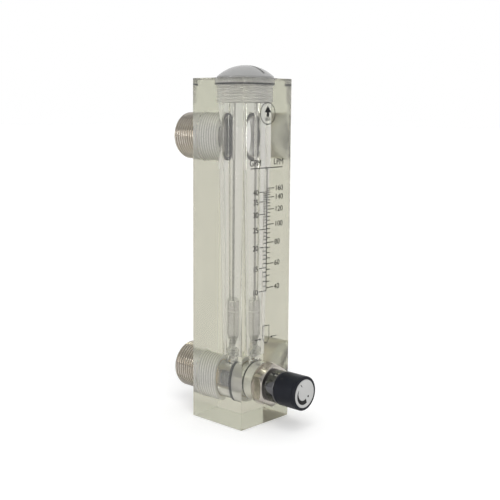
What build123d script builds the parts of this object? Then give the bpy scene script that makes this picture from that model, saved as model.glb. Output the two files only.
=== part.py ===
"""Acrylic block rotameter with a tapered metering bore, a guided float,
two threaded rear ports and a flow control valve in the front.

Units are millimetres. The origin is the centre of the block's base, +Z is up,
the scale and the valve knob face -Y and the two ports face +Y.
"""

import os
from math import cos, pi, radians, tan

from build123d import *

os.makedirs("parts", exist_ok=True)

# Clearances
thread_gap = 0.05
running_gap = 0.08
seal_squeeze_gap = 0.05
knob_gap = 0.3

# How far a cut runs past the face it opens through
overcut = 1.0

# Clear acrylic block
block_width = 47.5
block_depth = 47.5
block_height = 237.0
block_edge_break = 0.4

# Heights of the two ports
inlet_height = 28.5
outlet_drop = 39.5

# Vertical flow path, about an axis set a little forward in the block
bore_y = -2.9
bore_top_radius = 12.5
bore_bottom_radius = 8.7
bore_rise = 21.5
chamber_drop = 21.5
chamber_radius = 13.5
support_pocket_depth = 3.0
nut_well_radius = 5.2
nut_well_depth = 3.8
passage_radius = 4.6
passage_margin = 0.1

# Parallel pipe threads of the two ports, as plain cylinders over their crests
port_major_radius = 16.625
port_thread_depth = 1.479
port_crest_cut = 0.2
port_bore_radius = 13.0
port_projection = 28.4
outlet_engagement = 17.35
inlet_engagement = 16.35
port_hole_chamfer = 0.6
port_mouth_chamfer = 0.8
port_seal_thickness = 1.2
port_seal_width = 2.4

# Top plug with its seal
plug_head_radius = 19.4
plug_head_rim = 1.2
plug_dome_height = 8.9
plug_shoulder_step = 1.1
plug_recess_depth = 4.5
plug_thread_radius = 15.0
plug_thread_depth = 1.1
plug_length = 16.5
plug_seal_thickness = 1.4
plug_slot_width = 2.2
plug_slot_depth = 6.0

# Guide rod with its stops, its lower support and its nut
rod_radius = 1.5
rod_plug_depth = 5.5
rod_tail = 1.0
rod_end_chamfer = 0.3
upper_stop_radius = 2.0
upper_stop_rise = 6.0
lower_stop_radius = 2.6
lower_stop_length = 2.8
support_hub_radius = 3.4
support_bore_radius = 7.0
support_arm_width = 1.6
support_arms = 3
support_turn = 90
nut_across_flats = 5.5
nut_thickness = 2.4

# Float
float_radius = 7.7
float_tip_radius = 2.9
float_cone_height = 8.4
float_length = 32.9
float_top_fillet = 0.9
float_groove_width = 0.5
float_groove_depth = 0.25
float_groove_drop = 3.0

# Valve chamber, seat ring and plunger
valve_chamber_radius = 13.0
seat_lip_radius = 9.0
seat_nose_length = 2.0
seat_flange_radius = 13.9
plunger_seal_radius = 11.2
plunger_seal_thickness = 3.6
plunger_seal_chamfer = 0.5
plunger_radius = 10.4
plunger_length = 3.0
plunger_chamfer = 0.6
plunger_boss_radius = 5.0
plunger_screw_radius = 2.5
plunger_screw_head_radius = 4.8
plunger_screw_head_height = 2.0
plunger_screw_grip = 2.3
plunger_screw_slot_width = 1.2
plunger_screw_slot_depth = 1.0
plunger_washer_radius = 8.2
plunger_washer_thickness = 1.2
screw_hole_relief = 0.2
valve_lift = 6.0

# Bonnet, gland nut and stem packing
bonnet_across_flats = 26.8
bonnet_hex_length = 8.2
bonnet_hex_turn = 30
bonnet_thread_radius = 14.0
bonnet_engagement = 14.95
bonnet_flange_radius = 14.8
bonnet_flange_length = 0.9
bonnet_chamfer_angle = 30.0
bonnet_face_step = 0.4
bonnet_end_chamfer = 0.8
bonnet_cavity_radius = 11.6
bonnet_cavity_margin = 1.0
bonnet_seal_thickness = 2.6
packing_radius = 7.4
packing_pocket_depth = 6.2
packing_thickness = 3.0
gland_radius = 11.3
gland_length = 8.9
gland_edge_fillet = 0.8
gland_back_chamfer = 0.4

# Stem
stem_radius = 4.0
stem_thread_radius = 6.5
stem_tip_neck_radius = 2.3
stem_tip_neck_length = 1.6
stem_tip_radius = 3.2
stem_tip_length = 3.2
stem_guide_length = 1.6
stem_end_clearance = 0.4
stem_knob_depth = 12.0
stem_flat_depth = 1.0
stem_flat_margin = 1.0

# Knob with its disc and set screw
knob_radius = 11.65
knob_length = 17.8
knob_fillet = 0.9
knob_back_chamfer = 0.6
knob_line_setback = 1.7
knob_line_depth = 0.25
knob_disc_radius = 9.6
knob_disc_thickness = 1.0
knob_disc_proud = 0.25
set_screw_radius = 1.5
set_screw_length = 5.5
set_screw_setback = 5.0
set_screw_key = 1.5
set_screw_socket_depth = 1.5

# Sizes and places that follow from the ones above
plug_shoulder_radius = plug_thread_radius + plug_shoulder_step
rear_y = block_depth / 2
front_y = -block_depth / 2
outlet_height = block_height - outlet_drop
bore_bottom_z = inlet_height + bore_rise
chamber_bottom_z = outlet_height - chamber_drop
plug_end_z = block_height - plug_length
plug_recess_z = block_height - plug_recess_depth
pocket_bottom_z = bore_bottom_z - support_pocket_depth
nut_well_bottom_z = pocket_bottom_z - nut_well_depth
port_engaged_radius = port_major_radius - port_crest_cut
port_hole_radius = port_engaged_radius + thread_gap
outlet_inner_y = rear_y - outlet_engagement
inlet_inner_y = rear_y - inlet_engagement
outlet_hole_end_y = outlet_inner_y - port_seal_thickness
inlet_hole_end_y = inlet_inner_y - port_seal_thickness
port_outer_y = rear_y + port_projection
bonnet_inner_y = front_y + bonnet_engagement
bonnet_ledge_y = bonnet_inner_y + bonnet_seal_thickness
bonnet_front_y = front_y - bonnet_hex_length
gland_front_y = bonnet_front_y - gland_length
passage_y = bonnet_ledge_y + passage_radius + passage_margin
seat_y = inlet_hole_end_y - seat_nose_length
plunger_seal_front_y = seat_y - plunger_seal_thickness
plunger_front_y = plunger_seal_front_y - plunger_length
bonnet_cavity_y = plunger_front_y - valve_lift - bonnet_cavity_margin
knob_back_y = gland_front_y - knob_gap
knob_front_y = knob_back_y - knob_length
packing_pocket_y = bonnet_front_y + packing_pocket_depth
packing_front_y = packing_pocket_y - packing_thickness
stem_shoulder_y = packing_pocket_y + stem_guide_length
stem_thread_end_y = stem_shoulder_y + valve_lift + stem_end_clearance
float_start_z = bore_bottom_z + lower_stop_length
upper_stop_end_z = chamber_bottom_z + upper_stop_rise

# Axes of the turned features
bore_axis = Axis((0, bore_y, 0), (0, 0, 1))
inlet_axis = Axis((0, 0, inlet_height), (0, 1, 0))
outlet_axis = Axis((0, 0, outlet_height), (0, 1, 0))

# Sketch planes that hold those axes
bore_plane = Plane((0, bore_y, 0), x_dir=(1, 0, 0), z_dir=(0, -1, 0))
inlet_plane = Plane.XY.offset(inlet_height)
outlet_plane = Plane.XY.offset(outlet_height)


def facing_back(y, height=inlet_height):
    """Sketch plane square to the ports' axes that extrudes towards +Y."""
    return Plane((0, y, height), x_dir=(1, 0, 0), z_dir=(0, 1, 0))


def facing_front(y, height=inlet_height):
    """Sketch plane square to the ports' axes that extrudes towards -Y."""
    return Plane((0, y, height), x_dir=(1, 0, 0), z_dir=(0, -1, 0))


def write(piece, name):
    """Label a finished piece and write it as one STEP file."""
    piece.label = name
    export_step(piece, f"parts/{name}.step")


def port_hole(end_y, outlet_radius):
    """Outline points of a port's hole, from its inner step out through the rear face."""
    return [
        (outlet_radius, end_y),
        (port_hole_radius, end_y),
        (port_hole_radius, rear_y - port_hole_chamfer),
        (port_hole_radius + port_hole_chamfer + overcut, rear_y + overcut),
        (0, rear_y + overcut),
    ]


# Body block: one machined block with the vertical flow path, the outlet
# passage and the horizontal valve path
with BuildPart() as body_block:
    with BuildSketch():
        Rectangle(block_width, block_depth)
    extrude(amount=block_height)
    chamfer(body_block.edges(), block_edge_break)
    with BuildSketch(bore_plane):
        with BuildLine():
            Polyline(
                (0, nut_well_bottom_z),
                (nut_well_radius, nut_well_bottom_z),
                (nut_well_radius, pocket_bottom_z),
                (bore_bottom_radius, pocket_bottom_z),
                (bore_bottom_radius, bore_bottom_z),
                (bore_top_radius, chamber_bottom_z),
                (chamber_radius, chamber_bottom_z),
                (chamber_radius, plug_end_z),
                (plug_thread_radius + thread_gap, plug_end_z),
                (plug_thread_radius + thread_gap, plug_recess_z),
                (plug_shoulder_radius + thread_gap, plug_recess_z),
                (plug_shoulder_radius + thread_gap, block_height + overcut),
                (0, block_height + overcut),
                close=True,
            )
        make_face()
    revolve(axis=bore_axis, mode=Mode.SUBTRACT)
    with BuildSketch(inlet_plane):
        with Locations((0, passage_y)):
            Circle(passage_radius)
    extrude(amount=nut_well_bottom_z - inlet_height, mode=Mode.SUBTRACT)
    with BuildSketch(outlet_plane):
        with BuildLine():
            Polyline(
                (0, bore_y),
                (port_bore_radius, bore_y),
                *port_hole(outlet_hole_end_y, port_bore_radius),
                close=True,
            )
        make_face()
    revolve(axis=outlet_axis, mode=Mode.SUBTRACT)
    with BuildSketch(inlet_plane):
        with BuildLine():
            Polyline(
                (0, front_y - overcut),
                (bonnet_thread_radius + thread_gap, front_y - overcut),
                (bonnet_thread_radius + thread_gap, bonnet_ledge_y),
                (valve_chamber_radius, bonnet_ledge_y),
                *port_hole(inlet_hole_end_y, valve_chamber_radius),
                close=True,
            )
        make_face()
    revolve(axis=inlet_axis, mode=Mode.SUBTRACT)
write(body_block.part, "body_block")

# Top plug: domed head on the block's top face, shoulder in the recess and
# threaded shank, with a screwdriver slot above and a blind hole for the rod below
dome_sphere_radius = (plug_head_radius**2 + (plug_dome_height - plug_head_rim) ** 2) / (
    2 * (plug_dome_height - plug_head_rim)
)
plug_seal_top_z = plug_recess_z + plug_seal_thickness
plug_top_z = block_height + plug_dome_height
rod_top_z = plug_end_z + rod_plug_depth
with BuildPart() as top_plug:
    with BuildSketch(bore_plane):
        with BuildLine():
            dome = RadiusArc(
                (0, plug_top_z),
                (plug_head_radius, block_height + plug_head_rim),
                dome_sphere_radius,
            )
            Polyline(
                dome @ 1,
                (plug_head_radius, block_height),
                (plug_shoulder_radius, block_height),
                (plug_shoulder_radius, plug_seal_top_z),
                (plug_thread_radius - plug_thread_depth, plug_seal_top_z),
                (plug_thread_radius - plug_thread_depth, plug_recess_z),
                (plug_thread_radius, plug_recess_z - plug_thread_depth),
                (plug_thread_radius, plug_end_z + plug_thread_depth),
                (plug_thread_radius - plug_thread_depth, plug_end_z),
                (rod_radius + thread_gap, plug_end_z),
                (rod_radius + thread_gap, rod_top_z),
                (0, rod_top_z),
                (0, plug_top_z),
            )
        make_face()
    revolve(axis=bore_axis)
    with BuildSketch(Plane.XY.offset(plug_top_z - plug_slot_depth)):
        with Locations((0, bore_y)):
            Rectangle(plug_slot_width, 2 * plug_head_radius)
    extrude(amount=plug_slot_depth + overcut, mode=Mode.SUBTRACT)
write(top_plug.part, "top_plug")

# Flat seal squeezed between the plug's shoulder and the recess
with BuildPart() as top_plug_seal:
    with BuildSketch(Plane.XY.offset(plug_recess_z)):
        with Locations((0, bore_y)):
            Circle(plug_shoulder_radius)
            Circle(plug_thread_radius, mode=Mode.SUBTRACT)
    extrude(amount=plug_seal_thickness)
write(top_plug_seal.part, "top_plug_seal")

# Guide rod, from the plug down through the lower support
support_top_z = bore_bottom_z
nut_top_z = pocket_bottom_z
rod_bottom_z = nut_top_z - nut_thickness - rod_tail
with BuildPart() as guide_rod:
    with BuildSketch(Plane.XY.offset(rod_bottom_z)):
        with Locations((0, bore_y)):
            Circle(rod_radius)
    extrude(amount=rod_top_z - rod_bottom_z)
    chamfer(guide_rod.edges().filter_by(GeomType.CIRCLE), rod_end_chamfer)
write(guide_rod.part, "guide_rod")

# Sleeves on the rod that stop the float at the top and at the bottom
with BuildPart() as upper_float_stop:
    with BuildSketch(Plane.XY.offset(upper_stop_end_z)):
        with Locations((0, bore_y)):
            Circle(upper_stop_radius)
            Circle(rod_radius + thread_gap, mode=Mode.SUBTRACT)
    extrude(amount=plug_end_z - upper_stop_end_z)
write(upper_float_stop.part, "upper_float_stop")

with BuildPart() as lower_float_stop:
    with BuildSketch(Plane.XY.offset(support_top_z)):
        with Locations((0, bore_y)):
            Circle(lower_stop_radius)
            Circle(rod_radius + thread_gap, mode=Mode.SUBTRACT)
    extrude(amount=float_start_z - support_top_z)
write(lower_float_stop.part, "lower_float_stop")

# Clear spider that centres the rod: a rim in the pocket, arms and a hub
with BuildPart() as rod_support:
    with BuildSketch(Plane.XY.offset(pocket_bottom_z)):
        with Locations((0, bore_y)):
            Circle(bore_bottom_radius - thread_gap)
            Circle(support_bore_radius, mode=Mode.SUBTRACT)
            Circle(support_hub_radius)
            with PolarLocations(0, support_arms, start_angle=support_turn):
                with Locations(((support_hub_radius + support_bore_radius) / 2, 0)):
                    Rectangle(support_bore_radius - rod_radius, support_arm_width)
            Circle(rod_radius + thread_gap, mode=Mode.SUBTRACT)
    extrude(amount=support_pocket_depth)
write(rod_support.part, "rod_support")

# Hex nut under the support
with BuildPart() as rod_nut:
    with BuildSketch(Plane.XY.offset(nut_top_z - nut_thickness)):
        with Locations((0, bore_y)):
            RegularPolygon(nut_across_flats / 2, 6, major_radius=False)
            Circle(rod_radius + thread_gap, mode=Mode.SUBTRACT)
    extrude(amount=nut_thickness)
write(rod_nut.part, "rod_nut")

# Float: a turned body with a conical nose, a reading edge and a guide hole
float_top_z = float_start_z + float_length
float_cone_z = float_start_z + float_cone_height
float_groove_z = float_top_z - float_groove_drop
with BuildPart() as flow_float:
    with BuildSketch(bore_plane):
        with BuildLine():
            Polyline(
                (rod_radius + running_gap, float_start_z),
                (float_tip_radius, float_start_z),
                (float_radius, float_cone_z),
                (float_radius, float_groove_z - float_groove_width),
                (float_radius - float_groove_depth, float_groove_z - float_groove_width / 2),
                (float_radius, float_groove_z),
                (float_radius, float_top_z),
                (rod_radius + running_gap, float_top_z),
                close=True,
            )
        make_face()
    revolve(axis=bore_axis)
    fillet(
        flow_float.edges().filter_by(GeomType.CIRCLE).group_by(Axis.Z)[-1].sort_by(SortBy.RADIUS)[-1],
        float_top_fillet,
    )
write(flow_float.part, "float")


def port_fitting(plane, axis, inner_y):
    """One threaded port: an engaged and a free stretch, a plain bore and chamfered ends."""
    with BuildPart() as fitting:
        with BuildSketch(plane):
            with BuildLine():
                Polyline(
                    (port_bore_radius, inner_y),
                    (port_engaged_radius - port_thread_depth, inner_y),
                    (port_engaged_radius, inner_y + port_thread_depth),
                    (port_engaged_radius, rear_y),
                    (port_major_radius, rear_y),
                    (port_major_radius, port_outer_y - port_thread_depth),
                    (port_major_radius - port_thread_depth, port_outer_y),
                    (port_bore_radius + port_mouth_chamfer, port_outer_y),
                    (port_bore_radius, port_outer_y - port_mouth_chamfer),
                    close=True,
                )
            make_face()
        revolve(axis=axis)
    return fitting.part


def port_seal(inner_y, height):
    """Flat seal between a port's inner end and the bottom of its hole."""
    with BuildPart() as seal:
        with BuildSketch(facing_front(inner_y, height)):
            Circle(port_hole_radius - thread_gap)
            Circle(port_hole_radius - port_seal_width, mode=Mode.SUBTRACT)
        extrude(amount=port_seal_thickness)
    return seal.part


write(port_fitting(outlet_plane, outlet_axis, outlet_inner_y), "outlet_port")
write(port_seal(outlet_inner_y, outlet_height), "outlet_port_seal")
write(port_fitting(inlet_plane, inlet_axis, inlet_inner_y), "inlet_port")
write(port_seal(inlet_inner_y, inlet_height), "inlet_port_seal")

# Brass seat ring: a nose in the valve chamber and a flange that the inlet port
# clamps inside its seal
with BuildPart() as seat_ring:
    with BuildSketch(inlet_plane):
        with BuildLine():
            Polyline(
                (seat_lip_radius, seat_y),
                (valve_chamber_radius - thread_gap, seat_y),
                (valve_chamber_radius - thread_gap, inlet_hole_end_y),
                (seat_flange_radius, inlet_hole_end_y),
                (seat_flange_radius, inlet_inner_y),
                (seat_lip_radius, inlet_inner_y),
                close=True,
            )
        make_face()
    revolve(axis=inlet_axis)
write(seat_ring.part, "valve_seat_ring")

# Plunger: disc carrier with a lipped socket for the stem's tip in front and a
# boss for the rubber disc behind
socket_lip_y = plunger_front_y + stem_tip_neck_length - running_gap
socket_bottom_y = plunger_front_y + stem_tip_length + running_gap
screw_tip_y = seat_y - plunger_screw_grip
with BuildPart() as valve_plunger:
    with BuildSketch(inlet_plane):
        with BuildLine():
            Polyline(
                (0, seat_y),
                (plunger_boss_radius, seat_y),
                (plunger_boss_radius, plunger_seal_front_y),
                (plunger_radius, plunger_seal_front_y),
                (plunger_radius, plunger_front_y + plunger_chamfer),
                (plunger_radius - plunger_chamfer, plunger_front_y),
                (stem_tip_neck_radius + running_gap, plunger_front_y),
                (stem_tip_neck_radius + running_gap, socket_lip_y),
                (stem_tip_radius + running_gap, socket_lip_y),
                (stem_tip_radius + running_gap, socket_bottom_y),
                (0, socket_bottom_y),
                close=True,
            )
        make_face()
    revolve(axis=inlet_axis)
    with BuildSketch(facing_front(seat_y)):
        Circle(plunger_screw_radius + thread_gap)
    extrude(amount=plunger_screw_grip + screw_hole_relief, mode=Mode.SUBTRACT)
write(valve_plunger.part, "valve_plunger")

# Rubber disc that closes on the seat ring
with BuildPart() as plunger_seal:
    with BuildSketch(facing_back(plunger_seal_front_y)):
        Circle(plunger_seal_radius)
        Circle(plunger_boss_radius + seal_squeeze_gap, mode=Mode.SUBTRACT)
    extrude(amount=plunger_seal_thickness - seal_squeeze_gap)
    rims = plunger_seal.edges().filter_by(GeomType.CIRCLE).sort_by(SortBy.RADIUS)[-2:]
    chamfer(rims, plunger_seal_chamfer)
write(plunger_seal.part, "plunger_seal")

# Washer and screw that hold the disc on the plunger
washer_back_y = seat_y + plunger_washer_thickness
with BuildPart() as plunger_washer:
    with BuildSketch(facing_back(seat_y)):
        Circle(plunger_washer_radius)
        Circle(plunger_screw_radius + thread_gap, mode=Mode.SUBTRACT)
    extrude(amount=plunger_washer_thickness)
write(plunger_washer.part, "plunger_washer")

with BuildPart() as plunger_screw:
    with BuildSketch(facing_back(washer_back_y)):
        Circle(plunger_screw_head_radius)
    extrude(amount=plunger_screw_head_height)
    with BuildSketch(facing_front(washer_back_y)):
        Circle(plunger_screw_radius)
    extrude(amount=washer_back_y - screw_tip_y)
    with BuildSketch(facing_front(washer_back_y + plunger_screw_head_height)):
        Rectangle(2 * plunger_screw_head_radius, plunger_screw_slot_width)
    extrude(amount=plunger_screw_slot_depth, mode=Mode.SUBTRACT)
write(plunger_screw.part, "plunger_screw")

# Valve bonnet: threaded shank with a cavity for the plunger, flange and
# hexagon with a turned chamfer
bonnet_corner_radius = bonnet_across_flats / 2 / cos(pi / 6)
hex_face_radius = bonnet_across_flats / 2 - bonnet_face_step
chamfer_drop = (bonnet_corner_radius - hex_face_radius) * tan(radians(bonnet_chamfer_angle))
stem_bore_radius = stem_radius + running_gap
with BuildPart() as valve_bonnet:
    with BuildSketch(facing_front(front_y)):
        RegularPolygon(bonnet_across_flats / 2, 6, major_radius=False, rotation=bonnet_hex_turn)
    extrude(amount=bonnet_hex_length)
    with BuildSketch(inlet_plane):
        with BuildLine():
            Polyline(
                (0, front_y),
                (bonnet_corner_radius, front_y),
                (bonnet_corner_radius, bonnet_front_y + chamfer_drop),
                (hex_face_radius, bonnet_front_y),
                (0, bonnet_front_y),
                close=True,
            )
        make_face()
    revolve(axis=inlet_axis, mode=Mode.INTERSECT)
    with BuildSketch(facing_front(front_y)):
        Circle(bonnet_flange_radius)
    extrude(amount=bonnet_flange_length)
    with BuildSketch(inlet_plane):
        with BuildLine():
            Polyline(
                (0, front_y),
                (bonnet_thread_radius, front_y),
                (bonnet_thread_radius, bonnet_inner_y - bonnet_end_chamfer),
                (bonnet_thread_radius - bonnet_end_chamfer, bonnet_inner_y),
                (0, bonnet_inner_y),
                close=True,
            )
        make_face()
    revolve(axis=inlet_axis)
    with BuildSketch(inlet_plane):
        with BuildLine():
            Polyline(
                (0, bonnet_inner_y + overcut),
                (bonnet_cavity_radius, bonnet_inner_y + overcut),
                (bonnet_cavity_radius, bonnet_cavity_y),
                (stem_thread_radius + running_gap, bonnet_cavity_y),
                (stem_thread_radius + running_gap, stem_shoulder_y),
                (stem_bore_radius, stem_shoulder_y),
                (stem_bore_radius, packing_pocket_y),
                (packing_radius, packing_pocket_y),
                (packing_radius, bonnet_front_y - overcut),
                (0, bonnet_front_y - overcut),
                close=True,
            )
        make_face()
    revolve(axis=inlet_axis, mode=Mode.SUBTRACT)
write(valve_bonnet.part, "valve_bonnet")

# Black seal ring squeezed between the bonnet's inner end and the block's ledge
with BuildPart() as bonnet_seal:
    with BuildSketch(facing_back(bonnet_inner_y)):
        Circle(bonnet_thread_radius)
        Circle(bonnet_cavity_radius, mode=Mode.SUBTRACT)
    extrude(amount=bonnet_seal_thickness)
write(bonnet_seal.part, "bonnet_seal")

# Stem packing and the gland nut that squeezes it
with BuildPart() as stem_packing:
    with BuildSketch(facing_front(packing_pocket_y)):
        Circle(packing_radius - seal_squeeze_gap)
        Circle(stem_radius + running_gap, mode=Mode.SUBTRACT)
    extrude(amount=packing_thickness)
write(stem_packing.part, "stem_packing")

with BuildPart() as gland_nut:
    with BuildSketch(facing_front(bonnet_front_y)):
        Circle(gland_radius)
    extrude(amount=gland_length)
    fillet(gland_nut.edges().group_by(Axis.Y)[0], gland_edge_fillet)
    chamfer(gland_nut.edges().group_by(Axis.Y)[-1], gland_back_chamfer)
    with BuildSketch(facing_back(bonnet_front_y)):
        Circle(packing_radius - thread_gap)
    extrude(amount=packing_front_y - bonnet_front_y)
    with BuildSketch(facing_back(gland_front_y)):
        Circle(stem_bore_radius)
    extrude(amount=packing_front_y - gland_front_y, mode=Mode.SUBTRACT)
write(gland_nut.part, "gland_nut")

# Stem: headed tip in the plunger's socket, threaded length, smooth neck and
# a flat for the knob's set screw
stem_end_y = knob_back_y - stem_knob_depth
with BuildPart() as valve_stem:
    with BuildSketch(inlet_plane):
        with BuildLine():
            Polyline(
                (0, plunger_front_y + stem_tip_length),
                (stem_tip_radius, plunger_front_y + stem_tip_length),
                (stem_tip_radius, plunger_front_y + stem_tip_neck_length),
                (stem_tip_neck_radius, plunger_front_y + stem_tip_neck_length),
                (stem_tip_neck_radius, plunger_front_y - running_gap),
                (stem_thread_radius, plunger_front_y - running_gap),
                (stem_thread_radius, stem_thread_end_y),
                (stem_radius, stem_thread_end_y),
                (stem_radius, stem_end_y),
                (0, stem_end_y),
                close=True,
            )
        make_face()
    revolve(axis=inlet_axis)
    with BuildSketch(facing_back(stem_end_y)):
        with Locations((0, stem_radius)):
            Rectangle(2 * stem_radius, 2 * stem_flat_depth)
    extrude(amount=stem_knob_depth - stem_flat_margin, mode=Mode.SUBTRACT)
write(valve_stem.part, "valve_stem")

# Knob: turned grip with a stem hole, a disc recess, a set screw hole and a
# fine line round its front end
set_screw_y = knob_back_y - set_screw_setback
knob_line_y = knob_front_y + knob_line_setback
with BuildPart() as knob:
    with BuildSketch(facing_front(knob_back_y)):
        Circle(knob_radius)
    extrude(amount=knob_length)
    fillet(knob.edges().group_by(Axis.Y)[0], knob_fillet)
    chamfer(knob.edges().group_by(Axis.Y)[-1], knob_back_chamfer)
    with BuildSketch(facing_front(knob_back_y)):
        Circle(stem_radius + thread_gap)
    extrude(amount=stem_knob_depth, mode=Mode.SUBTRACT)
    with BuildSketch(facing_back(knob_front_y)):
        Circle(knob_disc_radius + thread_gap)
    extrude(amount=knob_disc_thickness - knob_disc_proud, mode=Mode.SUBTRACT)
    with BuildSketch(Plane((0, set_screw_y, inlet_height), x_dir=(1, 0, 0), z_dir=(0, 0, -1))):
        Circle(set_screw_radius + thread_gap)
    extrude(amount=knob_radius + overcut, mode=Mode.SUBTRACT)
    with BuildSketch(inlet_plane):
        with BuildLine():
            Polyline(
                (knob_radius + overcut, knob_line_y - knob_line_depth - overcut),
                (knob_radius - knob_line_depth, knob_line_y),
                (knob_radius + overcut, knob_line_y + knob_line_depth + overcut),
                close=True,
            )
        make_face()
    revolve(axis=inlet_axis, mode=Mode.SUBTRACT)
write(knob.part, "knob")

with BuildPart() as knob_disc:
    with BuildSketch(facing_back(knob_front_y - knob_disc_proud)):
        Circle(knob_disc_radius)
    extrude(amount=knob_disc_thickness)
write(knob_disc.part, "knob_disc")

# Set screw on the stem's flat, with a hexagon socket
set_screw_top_z = inlet_height - (stem_radius - stem_flat_depth)
set_screw_bottom_z = set_screw_top_z - set_screw_length
with BuildPart() as knob_set_screw:
    with BuildSketch(Plane((0, set_screw_y, set_screw_top_z), x_dir=(1, 0, 0), z_dir=(0, 0, -1))):
        Circle(set_screw_radius)
    extrude(amount=set_screw_length)
    with BuildSketch(Plane((0, set_screw_y, set_screw_bottom_z), x_dir=(1, 0, 0), z_dir=(0, 0, 1))):
        RegularPolygon(set_screw_key / 2, 6, major_radius=False)
    extrude(amount=set_screw_socket_depth, mode=Mode.SUBTRACT)
write(knob_set_screw.part, "knob_set_screw")
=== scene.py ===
"""Looks of the acrylic block rotameter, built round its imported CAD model.

Sizes are millimetres in the frame's axes and become metres through MM: +Z runs up
the block, the scale and the valve face -Y, the two ports face +Y.
"""

from collections import namedtuple
from math import cos, hypot, pi, radians, sin, tan

import bmesh
import bpy
from mathutils import Matrix, Vector


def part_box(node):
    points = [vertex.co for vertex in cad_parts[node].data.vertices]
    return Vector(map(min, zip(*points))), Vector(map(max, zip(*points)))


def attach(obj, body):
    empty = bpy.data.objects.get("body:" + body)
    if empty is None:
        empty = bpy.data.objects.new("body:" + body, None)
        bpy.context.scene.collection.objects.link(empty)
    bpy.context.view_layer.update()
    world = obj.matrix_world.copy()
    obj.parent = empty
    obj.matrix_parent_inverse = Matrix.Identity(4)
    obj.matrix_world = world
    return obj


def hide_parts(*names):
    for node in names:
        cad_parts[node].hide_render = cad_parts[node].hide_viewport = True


MM = 0.001
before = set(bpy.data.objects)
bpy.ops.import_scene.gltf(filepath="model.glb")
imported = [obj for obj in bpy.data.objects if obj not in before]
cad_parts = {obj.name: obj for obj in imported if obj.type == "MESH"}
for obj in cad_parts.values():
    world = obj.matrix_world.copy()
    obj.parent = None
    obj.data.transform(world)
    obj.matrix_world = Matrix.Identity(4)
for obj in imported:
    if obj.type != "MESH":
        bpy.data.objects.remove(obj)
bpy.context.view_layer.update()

Box = namedtuple("Box", "x0 x1 y0 y1 z0 z1")
Axis = namedtuple("Axis", "along u v")
Thread = namedtuple("Thread", "radius depth pitch")


def cad_box(node):
    """The box of a CAD node in millimetres."""
    low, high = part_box(node)
    return Box(*(value / MM for pair in zip(low, high) for value in pair))


def cad_radius(node):
    """Half the width of a turned CAD node."""
    return (cad[node].x1 - cad[node].x0) / 2


cad = {node: cad_box(node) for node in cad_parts}
block = cad["body_block"]

# Axes of the turned features: the vertical bore, the outlet and the inlet
bore_y = (cad["guide_rod"].y0 + cad["guide_rod"].y1) / 2
outlet_z = (cad["outlet_port"].z0 + cad["outlet_port"].z1) / 2
inlet_z = (cad["inlet_port"].z0 + cad["inlet_port"].z1) / 2
BORE = Axis("z", 0.0, bore_y)
OUTLET = Axis("y", 0.0, outlet_z)
INLET = Axis("y", 0.0, inlet_z)

# Clearances, how far two seals press into their walls, and how far a cutter overshoots
CLOSE_GAP = 0.01
GAP = 0.06
RUNNING_GAP = 0.08
PLUG_SEAL_PRESS = 0.03
BONNET_SEAL_PRESS = 0.1
OVERSHOOT = 2

# Flow path in the block
BLOCK_EDGE = 0.12
PASSAGE_RADIUS = 4.6
PASSAGE_WALL = 0.1
NUT_WELL_RADIUS = 5.2
NUT_WELL_DEPTH = 3.8
TAPER_BOTTOM_RADIUS = 8.7
TAPER_TOP_RADIUS = 12.5
TAPER_BOTTOM_Z = cad["rod_support"].z1
TAPER_BELOW_STOP = 6.0
TAPER_TOP_Z = cad["upper_float_stop"].z0 - TAPER_BELOW_STOP
CHAMBER_RADIUS = 13.5
VALVE_CHAMBER_RADIUS = 13.0
SEAT_RADIUS = 9.0
PORT_BORE_RADIUS = 13.0
PORT_HOLE_CHAMFER = 0.6
PORT_MOUTH_CHAMFER = 0.8
PLUG_RECESS_Z = cad["top_plug_seal"].z0
OUTLET_LEDGE_Y = cad["outlet_port_seal"].y0
INLET_LEDGE_Y = cad["inlet_port_seal"].y0
BONNET_LEDGE_Y = cad["bonnet_seal"].y1

# Radii of the holes for the rod and in the seals
ROD_HOLE_RADIUS = cad_radius("guide_rod") + GAP
PORT_SEAL_BORE = 14.1
BONNET_SEAL_BORE = 11.6
PLUNGER_SEAL_BORE = 5.05

# Threads
PORT_PITCH = 2.309
CREST_EASE = 0.02
INNER_CREST_EASE = 0.2
PORT_THREAD = Thread(cad_radius("outlet_port") - CREST_EASE, 1.35, PORT_PITCH)
PORT_INNER_THREAD = Thread(cad_radius("outlet_port") - INNER_CREST_EASE, 1.2, PORT_PITCH)
PLUG_THREAD = Thread(15.0, 0.8, 2.0)
BONNET_THREAD = Thread(14.0, 0.8, 2.0)
STEM_THREAD = Thread(6.5, 0.65, 1.5)
CREST_SHARE = 0.12

# Mesh fineness
SEGMENTS = 144
PASSAGE_SEGMENTS = 96
ROD_SEGMENTS = 64
SCREW_HOLE_SEGMENTS = 48
ROWS_A_TURN = 14
BOX_EDGE_STEPS = 3
ARC_STEPS = 4
LARGE_ARC_STEPS = 6
SMOOTH_ANGLE = radians(32)
SQUARE_TO_AXIS = 0.99995


# Mesh helpers


def place(axis, radius, angle, along):
    """A point in metres at a radius and an angle about an axis."""
    if axis.along == "z":
        return Vector((axis.u + radius * cos(angle), axis.v + radius * sin(angle), along)) * MM
    return Vector((axis.u + radius * sin(angle), along, axis.v + radius * cos(angle))) * MM


def at(value, angle):
    """A ring's radius or place, which is a number or a function of the angle."""
    return value(angle) if callable(value) else value


def add_object(name, data):
    """An object in the scene that holds a mesh, lettering, a camera or a lamp."""
    thing = bpy.data.objects.new(name, data)
    bpy.context.scene.collection.objects.link(thing)
    return thing


def evaluated_mesh(piece):
    """A mesh of what a piece shows, with its modifiers or its lettering worked out."""
    depsgraph = bpy.context.evaluated_depsgraph_get()
    return bpy.data.meshes.new_from_object(piece.evaluated_get(depsgraph))


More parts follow.
